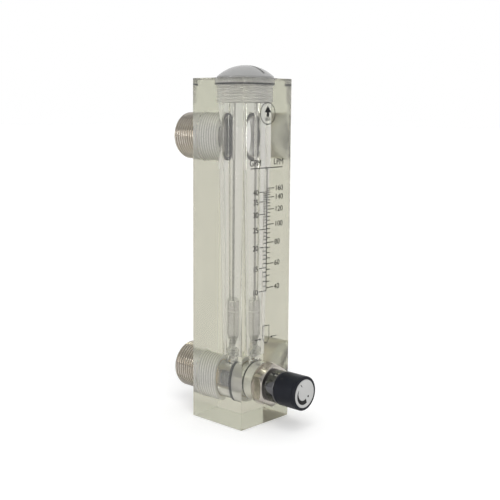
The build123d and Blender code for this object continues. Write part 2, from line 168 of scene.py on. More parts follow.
def shade(mesh):
    """Smooth shading with sharp edges by angle, and flat shading on faces square to the axes."""
    mesh.set_sharp_from_angle(angle=SMOOTH_ANGLE)
    for face in mesh.polygons:
        face.use_smooth = max(abs(c) for c in face.normal) < SQUARE_TO_AXIS


def finished_mesh(name, verts, faces):
    """A shaded mesh with its faces turned outwards."""
    mesh = bpy.data.meshes.new(name)
    mesh.from_pydata(verts, [], faces)
    bm = bmesh.new()
    bm.from_mesh(mesh)
    bmesh.ops.recalc_face_normals(bm, faces=bm.faces)
    bm.to_mesh(mesh)
    bm.free()
    shade(mesh)
    return mesh


def mark_faces(mesh, name, level):
    """Keep a number on each face, worked out from its centre in millimetres."""
    values = mesh.attributes.new(name, "FLOAT", "FACE").data
    for face, value in zip(mesh.polygons, values):
        value.value = level(*(face.center / MM))


def turned(name, rows, axis, segments=SEGMENTS):
    """A closed piece through rings about an axis. A ring is (radius, along)."""
    verts = []
    faces = []
    rings = []
    for radius, along in rows:
        if radius == 0:
            rings.append([len(verts)] * segments)
            verts.append(place(axis, 0, 0, along))
            continue
        rings.append(range(len(verts), len(verts) + segments))
        for i in range(segments):
            angle = 2 * pi * i / segments
            verts.append(place(axis, at(radius, angle), angle, at(along, angle)))
    closed = rows[0][0] != 0
    for a, b in zip(rings, rings[1:] + (rings[:1] if closed else [])):
        for i in range(segments):
            j = (i + 1) % segments
            corners = list(dict.fromkeys((a[i], a[j], b[j], b[i])))
            if len(corners) > 2:
                faces.append(corners)
    return add_object(name, finished_mesh(name, verts, faces))


def soften(points, radius, steps=ARC_STEPS):
    """The points with each corner between the first and the last turned into an arc.

    An arc takes at most a share of the stretches beside it, and a ring just outside it
    keeps the flat and straight stretches evenly shaded.
    """
    share = 0.4
    outside = 0.2
    result = [points[0]]
    for before, here, after in zip(points, points[1:], points[2:]):
        corner = Vector(here)
        back = Vector(before) - corner
        ahead = Vector(after) - corner
        turn = back.angle(ahead)
        reach = min(radius / tan(turn / 2), back.length * share, ahead.length * share)
        start = corner + back.normalized() * reach
        end = corner + ahead.normalized() * reach
        result.append(tuple(start + back.normalized() * reach * outside))
        for k in range(steps + 1):
            t = k / steps
            spot = start * (1 - t) ** 2 + corner * 2 * t * (1 - t) + end * t**2
            result.append(tuple(spot))
        result.append(tuple(end + ahead.normalized() * reach * outside))
    result.append(points[-1])
    return result


def soften_loop(points, radius, steps=ARC_STEPS):
    """The same for a closed outline."""
    first = Vector(points[0])
    middle = tuple((first + Vector(points[-1])) / 2)
    return soften([middle, *points, middle], radius, steps)[:-1]


def helix(thread, start, end, grow=0.0, lead=(1.0, 1.0)):
    """Rings of a helical thread from start to end, cut down by a chamfer at each end with a lead."""
    count = max(2, round(abs(end - start) / thread.pitch * ROWS_A_TURN))
    root = thread.radius - thread.depth + grow

    def ring(along):
        room = thread.depth
        for edge, length in zip((start, end), lead):
            if length:
                room = min(room, abs(along - edge) / length)

        def radius(angle):
            phase = along / thread.pitch - angle / (2 * pi)
            off_crest = 2 * abs(phase - round(phase))
            slope = min(max((off_crest - CREST_SHARE) / (1 - 2 * CREST_SHARE), 0.0), 1.0)
            return root + min(room, thread.depth * (0.5 + 0.5 * cos(pi * slope)))

        return radius, along

    return [ring(start + (end - start) * k / count) for k in range(count + 1)]


def boolean(piece, cutter):
    """Cut a piece with another, which is used up."""
    modifier = piece.modifiers.new("boolean", "BOOLEAN")
    modifier.operation = "DIFFERENCE"
    modifier.solver = "EXACT"
    modifier.object = cutter
    mesh = evaluated_mesh(piece)
    piece.modifiers.clear()
    piece.data = mesh
    bpy.data.objects.remove(cutter)
    shade(mesh)


def rounded_box(name, box, edge):
    """A box with its edges rounded."""
    bm = bmesh.new()
    bmesh.ops.create_cube(bm, size=1)
    size = Vector((box.x1 - box.x0, box.y1 - box.y0, box.z1 - box.z0))
    centre = Vector((box.x1 + box.x0, box.y1 + box.y0, box.z1 + box.z0)) / 2
    for vert in bm.verts:
        vert.co = (centre + Vector(a * b for a, b in zip(vert.co, size))) * MM
    if edge:
        bmesh.ops.bevel(
            bm, geom=bm.edges, offset=edge * MM, segments=BOX_EDGE_STEPS, profile=0.5, affect="EDGES"
        )
    mesh = bpy.data.meshes.new(name)
    bm.to_mesh(mesh)
    bm.free()
    shade(mesh)
    return add_object(name, mesh)


# Material helpers

# Where most of a noise texture's values lie
NOISE_LOW = 0.3
NOISE_HIGH = 0.7


def set_range(node, start, end, low, high):
    """Make a range node run from low to high as its value goes from start to end."""
    for key, value in (("From Min", start), ("From Max", end), ("To Min", low), ("To Max", high)):
        node.inputs[key].default_value = value


class Nodes:
    """A node material being made, with short calls for its nodes and links."""

    def __init__(self, name):
        self.material = bpy.data.materials.new(name)
        self.material.use_nodes = True
        self.tree = self.material.node_tree
        self.shader = self.tree.nodes["Principled BSDF"]
        self.output = self.tree.nodes["Material Output"]
        self.coordinates = self.add("ShaderNodeTexCoord").outputs["Object"]

    def add(self, kind, **settings):
        node = self.tree.nodes.new(kind)
        for key, value in settings.items():
            setattr(node, key, value)
        return node

    def link(self, source, target):
        """Link an output to an input, or to a socket of the shader by its name."""
        self.tree.links.new(source, self.shader.inputs[target] if isinstance(target, str) else target)

    def set(self, **values):
        """Constants on the shader's sockets, named with _ for a space."""
        for key, value in values.items():
            self.shader.inputs[key.replace("_", " ")].default_value = value

    def attribute(self, name):
        """A number kept on the mesh's faces."""
        return self.add("ShaderNodeAttribute", attribute_name=name).outputs["Fac"]

    def math(self, operation, first, second):
        """A sum, difference or product of two values, each an output or a number."""
        node = self.add("ShaderNodeMath", operation=operation)
        for value, target in zip((first, second), node.inputs):
            if isinstance(value, (int, float)):
                target.default_value = value
            else:
                self.link(value, target)
        return node.outputs[0]

    def stretched(self, scale):
        """The object's coordinates, scaled by three factors."""
        node = self.add("ShaderNodeMapping")
        node.inputs["Scale"].default_value = scale
        self.link(self.coordinates, node.inputs["Vector"])
        return node.outputs["Vector"]

    def noise(self, scale, vector=None, detail=3.0):
        """A noise texture on the object's coordinates, or on others."""
        node = self.add("ShaderNodeTexNoise")
        node.inputs["Scale"].default_value = scale
        node.inputs["Detail"].default_value = detail
        self.link(vector or self.coordinates, node.inputs["Vector"])
        return node.outputs["Fac"]

    def between(self, factor, low, high, start=NOISE_LOW, end=NOISE_HIGH):
        """A value that runs from low to high as the factor goes from start to end."""
        node = self.add("ShaderNodeMapRange")
        set_range(node, start, end, low, high)
        self.link(factor, node.inputs["Value"])
        return node.outputs["Result"]

    def colours(self, factor, first, second, start=NOISE_LOW, end=NOISE_HIGH):
        """A colour that runs from the first to the second as the factor goes from start to end."""
        node = self.add("ShaderNodeValToRGB")
        node.color_ramp.elements[0].position = start
        node.color_ramp.elements[1].position = end
        node.color_ramp.elements[0].color = (*first, 1)
        node.color_ramp.elements[1].color = (*second, 1)
        self.link(factor, node.inputs["Fac"])
        return node.outputs["Color"]

    def mixed(self, factor, first, second):
        """A colour from an output, turned by a factor into a second colour."""
        node = self.add("ShaderNodeMix", data_type="RGBA")
        colours = [socket for socket in node.inputs if socket.type == "RGBA"]
        self.link(factor, node.inputs["Factor"])
        self.link(first, colours[0])
        colours[1].default_value = (*second, 1)
        return next(socket for socket in node.outputs if socket.type == "RGBA")

    def bump(self, height, strength, distance):
        """Relief on the surface, with its depth in millimetres."""
        node = self.add("ShaderNodeBump")
        node.inputs["Strength"].default_value = strength
        node.inputs["Distance"].default_value = distance * MM
        self.link(height, node.inputs["Height"])
        self.link(node.outputs["Normal"], "Normal")

    def absorb(self, colour, density):
        """A tint in the volume."""
        volume = self.add("ShaderNodeVolumeAbsorption")
        volume.inputs["Color"].default_value = (*colour, 1)
        volume.inputs["Density"].default_value = density
        self.link(volume.outputs["Volume"], self.output.inputs["Volume"])


# Materials

# Numbers on faces: how matt a cut face of the block is, and which faces in a port's bore get painted shade
MACHINED = "machined"
PAINTED_SHADE_FACES = "inside"

# How far each plastic bends light, and how dark the painted shade in a port's bore is beside the metal's
# outside colour
ACRYLIC_INDEX = 1.49
MOULDED_INDEX = 1.34
PAINTED_SHADE_SHARE = 0.25

# A wave texture has 20 bands in 2 pi of scaled length: this scale gives one a turn of the ports' thread
PORT_WAVE = round(2 * pi / 20 / (PORT_PITCH * MM))
# Bands fade in between these two levels of a face, which only the port holes are past
BAND_DEPTH = 0.3
BANDS_START = 0.88
BANDS_FULL = 0.94


def acrylic_material():
    """Clear cast acrylic: polished outside with a faint haze, matt where it was cut."""
    m = Nodes("acrylic")
    cut_level = m.attribute(MACHINED)
    turns = m.add("ShaderNodeTexWave", bands_direction="Y")
    turns.inputs["Scale"].default_value = PORT_WAVE
    m.link(m.coordinates, turns.inputs["Vector"])
    banded = m.between(cut_level, 0.0, BAND_DEPTH, start=BANDS_START, end=BANDS_FULL)
    depth = m.math("MULTIPLY", banded, turns.outputs["Fac"])
    machined = m.math("MULTIPLY", cut_level, m.math("SUBTRACT", 1.0, depth))
    m.set(IOR=ACRYLIC_INDEX)
    m.link(m.colours(machined, (1.0, 1.0, 1.0), (0.97, 0.96, 0.95), start=0.0, end=0.3), "Base Color")
    haze = m.between(m.noise(60.0), 0.0, 0.02)
    cut = m.between(m.noise(900.0, detail=4.0), 0.25, 0.35)
    m.link(m.math("ADD", haze, m.math("MULTIPLY", machined, cut)), "Roughness")
    m.link(m.between(machined, 0.93, 0.0, start=0.0, end=1.0), "Transmission Weight")
    m.absorb((0.71, 0.71, 0.34), 12.0)
    return m.material


def clear_plastic(name, base, transmission, absorption_colour, density, roughness, ior):
    """A see-through plastic with a tint in its volume and some haze."""
    m = Nodes(name)
    m.set(IOR=ior)
    drift = m.noise(140.0)
    m.link(m.colours(drift, tuple(c * 0.96 for c in base), base), "Base Color")
    m.link(m.between(drift, *roughness), "Roughness")
    m.link(m.between(m.noise(45.0), transmission - 0.02, transmission + 0.02), "Transmission Weight")
    m.absorb(absorption_colour, density)
    return m.material


def metal(name, colour, dark_colour, roughness, lines, line_depth):
    """A turned metal: fine tool lines across the axis, a slight drift of tone, and painted shade on the
    faces in a port's bore.
    """
    m = Nodes(name)
    m.set(Metallic=1.0)
    outside = m.colours(m.noise(90.0), dark_colour, colour)
    # Painted shade: a port's bore is darkened to a share of the metal's dark colour, standing for the shade
    # inside it
    inside = tuple(c * PAINTED_SHADE_SHARE for c in dark_colour)
    m.link(m.mixed(m.attribute(PAINTED_SHADE_FACES), outside, inside), "Base Color")
    tool = m.noise(1.0, m.stretched(lines), detail=2.0)
    m.link(m.between(tool, *roughness), "Roughness")
    m.bump(tool, 0.25, line_depth)
    return m.material


def solid_plastic(name, colour, dark_colour, roughness, grain, grain_depth):
    """A moulded or turned opaque plastic, a rubber or an ink."""
    m = Nodes(name)
    m.link(m.colours(m.noise(120.0), dark_colour, colour), "Base Color")
    m.set(Specular_IOR_Level=0.15)
    fine = m.noise(grain, detail=4.0)
    m.link(m.between(fine, *roughness), "Roughness")
    m.bump(fine, 0.3, grain_depth)
    return m.material


acrylic = acrylic_material()

# Colour, share of light let through, tint and its density, least and most roughness, index
smoke = clear_plastic("smoke", (0.43, 0.43, 0.425), 0.22, (0.6, 0.6, 0.6), 20.0, (0.12, 0.2), ACRYLIC_INDEX)
clear_moulded = clear_plastic(
    "clear_moulded", (0.95, 0.95, 0.93), 0.93, (0.7, 0.69, 0.6), 8.0, (0.03, 0.08), MOULDED_INDEX
)

# How often tool lines change in a metre along each axis, so that they run round a turned piece
ALONG_Y = (60.0, 2600.0, 60.0)
ALONG_Z = (60.0, 60.0, 2600.0)
ACROSS_DISC = (200.0, 200.0, 9000.0)

# Light and dark colour, least and most roughness, tool lines and their depth in millimetres
STEEL = ((0.70, 0.69, 0.67), (0.62, 0.61, 0.59))
steel_z = metal("steel_along_z", *STEEL, (0.20, 0.28), ALONG_Z, 0.004)
steel_y = metal("steel_along_y", *STEEL, (0.16, 0.26), ALONG_Y, 0.004)
# Painted shade: the rod's steel is darker than the other steel, standing for the shade on it inside the
# bore
rod_steel_painted_shade = metal("rod_steel_painted_shade", (0.44, 0.43, 0.41), (0.38, 0.37, 0.35), (0.20, 0.28), ALONG_Z, 0.004)
nickel = metal("nickel", (0.63, 0.59, 0.54), (0.56, 0.52, 0.46), (0.10, 0.18), ALONG_Y, 0.006)
# Painted dark reflection: this chrome is far darker than polished chrome, standing for the dark
# surroundings it mirrors
painted_dark_chrome = metal("painted_dark_chrome", (0.16, 0.16, 0.165), (0.14, 0.14, 0.145), (0.03, 0.07), ALONG_Y, 0.004)
brass = metal("brass", (0.80, 0.66, 0.40), (0.72, 0.57, 0.33), (0.22, 0.36), ALONG_Y, 0.02)
disc_silver = metal("disc_silver", (0.68, 0.68, 0.67), (0.64, 0.64, 0.63), (0.30, 0.44), ACROSS_DISC, 0.01)
dark_steel = metal("dark_steel", (0.10, 0.10, 0.10), (0.06, 0.06, 0.06), (0.30, 0.42), ALONG_Z, 0.02)

# Light and dark colour, least and most roughness, how often the grain repeats in a metre, its depth
black_plastic = solid_plastic(
    "black_plastic", (0.014, 0.016, 0.022), (0.011, 0.012, 0.017), (0.30, 0.42), 2500.0, 0.02
)
rubber = solid_plastic("rubber", (0.018, 0.018, 0.019), (0.010, 0.010, 0.011), (0.45, 0.65), 1800.0, 0.03)
white_plastic = solid_plastic(
    "white_plastic", (0.72, 0.72, 0.69), (0.66, 0.66, 0.63), (0.30, 0.45), 1500.0, 0.02
)
ink = solid_plastic("ink", (0.012, 0.012, 0.013), (0.020, 0.020, 0.021), (0.35, 0.55), 3000.0, 0.01)


def dress(piece, material, body, slot, *nodes):
    """Give a piece its material and its body, and hide the CAD nodes it stands for; its slot is not used.
    """
    piece.data.materials.clear()
    piece.data.materials.append(material)
    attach(piece, body)
    if nodes:
        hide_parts(*nodes)
    return piece


def dress_node(node, material):
    """Give a CAD node that keeps its own mesh a finer material."""
    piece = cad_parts[node]
    piece.data.materials.clear()
    piece.data.materials.append(material)


# The acrylic block

# How matt each surface was left, from 0 where it is polished to 1 where it is cut roughest
TOP_MATT = 0.3
BASE_MATT = 0.12
PORT_LEDGE_MATT = 1.0
PORT_WALL_MATT = 0.95
BONNET_WALL_MATT = 0.4
VALVE_CHAMBER_MATT = 0.2
PLUG_RECESS_MATT = 0.85
PLUG_THREAD_MATT = 0.75
BORE_MATT = 0.03
OUTLET_PASSAGE_MATT = 0.1


def port_hole_rows(ledge_y, start_radius):
    """Rings of a port's hole, from the ledge that its seal meets out through the rear face."""
    hole = PORT_INNER_THREAD.radius + GAP
    return [
        (start_radius, ledge_y),
        (hole, ledge_y),
        (hole, block.y1 - PORT_HOLE_CHAMFER),
        (hole + PORT_HOLE_CHAMFER + OVERSHOOT, block.y1 + OVERSHOOT),
        (0, block.y1 + OVERSHOOT),
    ]


def machining(x, y, z):
    """How matt the block is at the centre of a face, by the surface that the face belongs to."""
    # How near to a flat, past a turned wall and in from the outside a centre has to be
    near = 0.1
    room = 0.5
    skin = 0.02
    if z > block.z1 - near:
        return TOP_MATT
    if z < block.z0 + near:
        return BASE_MATT
    from_bore = hypot(x, y - bore_y)
    from_outlet = hypot(x, z - outlet_z)
    from_inlet = hypot(x, z - inlet_z)
    for from_port, ledge_y in ((from_outlet, OUTLET_LEDGE_Y), (from_inlet, INLET_LEDGE_Y)):
        if from_port < PORT_INNER_THREAD.radius + 2 * room and ledge_y - near < y < block.y1 - skin:
            return PORT_LEDGE_MATT if y < ledge_y + near else PORT_WALL_MATT
    if from_inlet < BONNET_THREAD.radius + room and y > block.y0 + skin:
        return BONNET_WALL_MATT if y < BONNET_LEDGE_Y else VALVE_CHAMBER_MATT
    if z > PLUG_RECESS_Z - near:
        return PLUG_RECESS_MATT
    if from_bore < PLUG_THREAD.radius + 2 * room and z > cad["top_plug"].z0 - near:
        return PLUG_THREAD_MATT
    if from_bore < CHAMBER_RADIUS + room:
        return BORE_MATT
    if from_outlet < PORT_BORE_RADIUS + room:
        return OUTLET_PASSAGE_MATT
    return 0.0


def block_piece():
    """The block with its bore, its port holes and its valve path."""
    body = rounded_box("block", block, BLOCK_EDGE)
    above = block.z1 + OVERSHOOT
    plug = cad["top_plug"]
    support = cad["rod_support"]
    well_z = support.z0 - NUT_WELL_DEPTH
    seal_radius = cad_radius("top_plug_seal") + CLOSE_GAP
    bore = turned(
        "bore_cutter",
        [
            (0, well_z),
            (NUT_WELL_RADIUS, well_z),
            (NUT_WELL_RADIUS, support.z0),
            (TAPER_BOTTOM_RADIUS, support.z0),
            (TAPER_BOTTOM_RADIUS, TAPER_BOTTOM_Z),
            (TAPER_TOP_RADIUS, TAPER_TOP_Z),
            (CHAMBER_RADIUS, TAPER_TOP_Z),
            (CHAMBER_RADIUS, plug.z0),
            *helix(PLUG_THREAD, plug.z0, PLUG_RECESS_Z, grow=GAP, lead=(0, 0)),
            (seal_radius, PLUG_RECESS_Z),
            (seal_radius, above),
            (0, above),
        ],
        BORE,
    )
    passage_y = BONNET_LEDGE_Y + PASSAGE_RADIUS + PASSAGE_WALL
    passage_top = well_z + 1
    passage = turned(
        "passage_cutter",
        [(0, inlet_z), (PASSAGE_RADIUS, inlet_z), (PASSAGE_RADIUS, passage_top), (0, passage_top)],
        Axis("z", 0.0, passage_y),
        PASSAGE_SEGMENTS,
    )
    outlet = turned(
        "outlet_cutter",
        [(0, bore_y), (PORT_BORE_RADIUS, bore_y), *port_hole_rows(OUTLET_LEDGE_Y, PORT_BORE_RADIUS)],
        OUTLET,
    )
    bonnet_hole = BONNET_THREAD.radius + GAP
    valve = turned(
        "valve_cutter",
        [
            (0, block.y0 - OVERSHOOT),
            (bonnet_hole, block.y0 - OVERSHOOT),
            (bonnet_hole, BONNET_LEDGE_Y),
            (VALVE_CHAMBER_RADIUS, BONNET_LEDGE_Y),
            *port_hole_rows(INLET_LEDGE_Y, VALVE_CHAMBER_RADIUS),
        ],
        INLET,
    )
    for cutter in (bore, passage, outlet, valve):
        boolean(body, cutter)
    body.data.name = "block"
    mark_faces(body.data, MACHINED, machining)
    return dress(body, acrylic, "housing", "clear_acrylic", "body_block")


# Pieces at the block's top and in its bore


def top_plug_piece():
    """The domed plug with its slot, its shoulder, its thread and the hole for the rod."""
    node = cad["top_plug"]
    seal = cad["top_plug_seal"]
    head = cad_radius("top_plug") - CLOSE_GAP
    rim = 1.2
    rise = node.z1 - block.z1 - rim
    sphere = (head**2 + rise**2) / (2 * rise)
    sphere_z = node.z1 - sphere
    steps = 24
    dome = []
    for k in range(1, steps + 1):
        radius = head * k / steps
        dome.append((radius, sphere_z + (sphere**2 - radius**2) ** 0.5))
    shoulder = cad_radius("top_plug_seal")
    root = PLUG_THREAD.radius - PLUG_THREAD.depth
    corners = [dome[-1], (head, block.z1), (shoulder, block.z1), (shoulder, seal.z1), (root, seal.z1)]
    rod_top = cad["guide_rod"].z1
    piece = turned(
        "plug",
        [
            (0, node.z1),
            *dome[:-1],
            *soften(corners, 0.25),
            (root, seal.z0),
            *helix(PLUG_THREAD, seal.z0 - CLOSE_GAP, node.z0),
            (ROD_HOLE_RADIUS, node.z0),
            (ROD_HOLE_RADIUS, rod_top),
            (0, rod_top),
        ],
        BORE,
    )
    half_slot = 1.1
    slot_depth = 6.0
    reach = 30
    slot = Box(-half_slot, half_slot, bore_y - reach, bore_y + reach, node.z1 - slot_depth, node.z1 + 5)
    boolean(piece, rounded_box("slot_cutter", slot, 0.3))
    return dress(piece, smoke, "housing", "smoke_plastic", "top_plug")


def ring_piece(name, node, axis, inner, material, body, slot, edge=0.2, press=0.0, ease=0.0):
    """A plain turned ring that fills a CAD node's box, with softened edges.

    It presses into the wall round it, or is eased off the walls at its ends.
    """
    box = cad[node]
    outer = cad_radius(node) + press
    low, high = (box.z0, box.z1) if axis.along == "z" else (box.y0, box.y1)
    low, high = low + ease, high - ease
    outline = [(inner, low), (outer, low), (outer, high), (inner, high)]
    return dress(turned(name, soften_loop(outline, edge), axis), material, body, slot, node)


def seal_piece(name, node, axis, inner, body="housing", **fit):
    """A ring of black rubber, with the edge, press and ease of a plain ring."""
    return ring_piece(name, node, axis, inner, rubber, body, "black_rubber", **fit)


def rod_piece():
    """The guide rod with chamfered ends."""
    box = cad["guide_rod"]
    radius = cad_radius("guide_rod")
    outline = [(0, box.z0), (radius, box.z0), (radius, box.z1), (0, box.z1)]
    piece = turned("rod", soften(outline, 0.3), BORE, ROD_SEGMENTS)
    return dress(piece, rod_steel_painted_shade, "housing", "stainless_steel", "guide_rod")


def float_piece():
    """The turned float: a conical nose, a straight skirt with a fine groove and a rounded top."""
    box = cad["float"]
    radius = cad_radius("float")
    hole = cad_radius("guide_rod") + RUNNING_GAP
    nose = 2.9
    cone_z = box.z0 + 8.4
    groove = 0.25
    groove_z = box.z1 - 3.0
    side = [
        (hole, box.z0),
        (nose, box.z0),
        (radius, cone_z),
        (radius, groove_z - 2 * groove),
        (radius - groove, groove_z - groove),
        (radius, groove_z),
    ]
    top = [(radius, groove_z), (radius, box.z1), (hole, box.z1)]
    rows = soften(side, 0.12)[:-1] + soften(top, 0.9, LARGE_ARC_STEPS)
    return dress(turned("float_body", rows, BORE), steel_z, "float_unit", "stainless_steel", "float")


# Ports


def port_piece(name, node, axis):
    """A threaded port: its inner stretch in the block, its outer stretch and its open bore."""
    box = cad[node]
    chamfer = 0.3
    break_at_face = 0.2
    root = PORT_THREAD.radius - PORT_THREAD.depth
    mouth = [
        (root, box.y1),
        (PORT_BORE_RADIUS + PORT_MOUTH_CHAMFER, box.y1),
        (PORT_BORE_RADIUS, box.y1 - PORT_MOUTH_CHAMFER),
        (PORT_BORE_RADIUS, block.y1),
    ]
    rows = [
        (PORT_BORE_RADIUS, box.y0 + chamfer),
        (PORT_BORE_RADIUS + chamfer, box.y0),
        *helix(PORT_INNER_THREAD, box.y0, block.y1 - 2 * break_at_face, lead=(1.0, 0)),
        *helix(PORT_THREAD, block.y1 - break_at_face, box.y1, lead=(0, 1.0)),
        *soften(mouth, 0.15)[1:],
    ]

    # Faces in the port's bore, which the metal darkens with painted shade
    def inside(x, y, z):
        in_bore = hypot(x, z - axis.v) < PORT_BORE_RADIUS + chamfer + 0.05
        return float(in_bore and y < box.y1 - PORT_MOUTH_CHAMFER)

    piece = turned(name, rows, axis)
    mark_faces(piece.data, PAINTED_SHADE_FACES, inside)
    return dress(piece, nickel, "housing", "nickel_plate", node)


# Valve

PACKING_POCKET_DEPTH = 6.2
PACKING_RADIUS = 7.4
STEM_GUIDE_LENGTH = 1.6
STEM_RADIUS = 4.0
STEM_HOLE_RADIUS = STEM_RADIUS + RUNNING_GAP
VALVE_LIFT = 6.0
pocket_y = cad["valve_bonnet"].y0 + PACKING_POCKET_DEPTH
shoulder_y = pocket_y + STEM_GUIDE_LENGTH


def seat_piece():
    """The brass seat ring: a nose in the valve chamber and a flange behind it."""
    box = cad["valve_seat_ring"]
    flange = cad_radius("valve_seat_ring")
    nose = VALVE_CHAMBER_RADIUS - GAP
    outline = [
        (SEAT_RADIUS, box.y0),
        (nose, box.y0),
        (nose, INLET_LEDGE_Y),
        (flange, INLET_LEDGE_Y),
        (flange, box.y1),
        (SEAT_RADIUS, box.y1),
    ]
    piece = turned("seat_ring", soften_loop(outline, 0.25), INLET)
    return dress(piece, brass, "housing", "brass", "valve_seat_ring")


def hexagon(apothem):
    """Radius of a hexagon with corners up and down, by the angle from up."""

    def radius(angle):
        off = (angle % (pi / 3)) - pi / 6
        return apothem / cos(off)

    return radius


def bonnet_piece():
    """The bonnet: hollow threaded shank, flange, and a hexagon with a turned chamfer."""
    box = cad["valve_bonnet"]
    apothem = 13.4
    face = apothem - 0.4
    bevel = 0.12
    slope = tan(radians(30))
    outline = hexagon(apothem)
    flange = cad_radius("valve_bonnet")
    flange_y = block.y0 - 0.9
    flange_edge = 0.15
    thread_y = block.y0 + 1.0
    stem_thread = STEM_THREAD.radius + RUNNING_GAP
    root = BONNET_THREAD.radius - BONNET_THREAD.depth
    wall = 2.4
    cavity = cad_radius("bonnet_seal") - wall
    spare_lift = 1.0
    cavity_y = cad["valve_plunger"].y0 - VALVE_LIFT - spare_lift

    def chamfer_y(angle):
        return box.y0 + (outline(angle) - face) * slope

    rows = [
        (PACKING_RADIUS, box.y0),
        (face - 0.1, box.y0),
        (face, box.y0 + 0.03),
        (lambda a: outline(a) - bevel, lambda a: chamfer_y(a) - bevel / 2),
        (outline, lambda a: chamfer_y(a) + bevel),
        (outline, flange_y - 0.02),
        (flange - flange_edge, flange_y),
        (flange, flange_y + flange_edge),
        (flange, block.y0 - CLOSE_GAP),
        (root, block.y0 - CLOSE_GAP),
        (root, thread_y),
        *helix(BONNET_THREAD, thread_y, box.y1),
        (cavity, box.y1),
        (cavity, cavity_y),
        (stem_thread, cavity_y),
        (stem_thread, shoulder_y),
        (STEM_HOLE_RADIUS, shoulder_y),
        (STEM_HOLE_RADIUS, pocket_y),
        (PACKING_RADIUS, pocket_y),
    ]
    return dress(turned("bonnet", rows, INLET), nickel, "housing", "nickel_plate", "valve_bonnet")


def gland_piece():
    """The polished round nut: its nose in the packing pocket and its rounded body."""
    box = cad["gland_nut"]
    radius = cad_radius("gland_nut")
    back = cad["valve_bonnet"].y0
    nose = PACKING_RADIUS - GAP
    outline = [
        (STEM_HOLE_RADIUS, box.y0),
        (radius, box.y0),
        (radius, back),
        (nose, back),
        (nose, box.y1),
        (STEM_HOLE_RADIUS, box.y1),
    ]
    piece = turned("gland", soften_loop(outline, 0.8, LARGE_ARC_STEPS), INLET)
    return dress(piece, painted_dark_chrome, "housing", "polished_chrome", "gland_nut")


def plunger_piece():
    """The black plunger: a carrier with a socket in front and a boss for its rubber disc."""
    box = cad["valve_plunger"]
    radius = cad_radius("valve_plunger")
    seal_y = cad["plunger_seal"].y0
    boss = 5.0
    socket = 3.28
    socket_y = box.y0 + 3.28
    lip = 2.38
    lip_y = box.y0 + 1.52
    chamfer = 0.6
    outline = [
        (0, socket_y),
        (socket, socket_y),
        (socket, lip_y),
        (lip, lip_y),
        (lip, box.y0),
        (radius - chamfer, box.y0),
        (radius, box.y0 + chamfer),
        (radius, seal_y),
        (boss, seal_y),
        (boss, box.y1),
        (0, box.y1),
    ]
    piece = turned("plunger", soften(outline, 0.2), INLET)
    return dress(piece, black_plastic, "plunger_unit", "black_plastic", "valve_plunger")


def stem_piece():
    """The stem: headed tip, threaded length, smooth end with a flat under the knob."""
    box = cad["valve_stem"]
    front = cad["valve_plunger"].y0
    head = 3.2
    neck = 2.3
    neck_y = front + 1.6
    thread_start = front - RUNNING_GAP
    thread_end = shoulder_y + VALVE_LIFT + 0.4
    tip = [(0, box.y1), (head, box.y1), (head, neck_y), (neck, neck_y), (neck, thread_start)]
    rows = [
        *soften(tip, 0.2),
        (STEM_THREAD.radius - STEM_THREAD.depth, thread_start),
        *helix(STEM_THREAD, thread_start - 0.02, thread_end),
        *soften([(STEM_RADIUS, thread_end), (STEM_RADIUS, box.y0), (0, box.y0)], 0.4),
    ]
    piece = turned("stem", rows, INLET)
    flat_below = 3.0
    flat_length = 11
    flat = Box(-5, 5, box.y0 - 1, box.y0 + flat_length, inlet_z - 2 * flat_below, inlet_z - flat_below)
    boolean(piece, rounded_box("flat_cutter", flat, 0))
    return dress(piece, steel_y, "knob_unit", "stainless_steel", "valve_stem")


def knob_piece():
    """The turned knob: rounded ends, a fine line near its front, a recess for the disc."""
    box = cad["knob"]
    radius = cad_radius("knob")
    line_y = box.y0 + 1.7
    line = 0.25
    disc = cad["knob_disc"]
    recess = cad_radius("knob_disc") + GAP
    stem = STEM_RADIUS + GAP
    stem_hole_y = box.y1 - 12.0
    front = [(recess, box.y0), (radius, box.y0), (radius, line_y - line)]
    groove = [(radius, line_y - line), (radius - line, line_y), (radius, line_y + line)]
    back = [(radius, line_y + line), (radius, box.y1), (stem, box.y1)]
    rows = [
        (0, disc.y1),
        (recess, disc.y1),
        *soften(front, 0.9, LARGE_ARC_STEPS)[:-1],
        *soften(groove, 0.05)[:-1],
        *soften(back, 0.9, LARGE_ARC_STEPS),
        (stem, stem_hole_y),
        (0, stem_hole_y),
    ]
    piece = turned("knob_grip", rows, INLET)
    screw = cad["knob_set_screw"]
    hole = cad_radius("knob_set_screw") + GAP
    outside = inlet_z - radius - 1
    rows = [(0, screw.z1), (hole, screw.z1), (hole, outside), (0, outside)]
    screw_axis = Axis("z", 0.0, (screw.y0 + screw.y1) / 2)
    boolean(piece, turned("screw_hole_cutter", rows, screw_axis, SCREW_HOLE_SEGMENTS))
    return dress(piece, black_plastic, "knob_unit", "black_plastic", "knob")


def disc_piece():
    """The silver disc in the knob's face."""
    box = cad["knob_disc"]
    radius = cad_radius("knob_disc")
    outline = [(0, box.y1), (radius, box.y1), (radius, box.y0), (0, box.y0)]
    piece = turned("disc", soften(outline, 0.12), INLET)
    return dress(piece, disc_silver, "knob_unit", "silver_disc", "knob_disc")


# Print on the block's front and on the knob's disc

INK_DEPTH = 0.02
LINE = 0.55
STRIKE_SHIFT = 0.07
# Height of the built-in font's figures and capitals as a share of its size
CAPITAL_SHARE = 0.7


def circle(x, z, radius, steps):
    """Points round a circle on a face."""
    turns = [2 * pi * k / steps for k in range(steps)]
    return [(x + radius * cos(turn), z + radius * sin(turn)) for turn in turns]


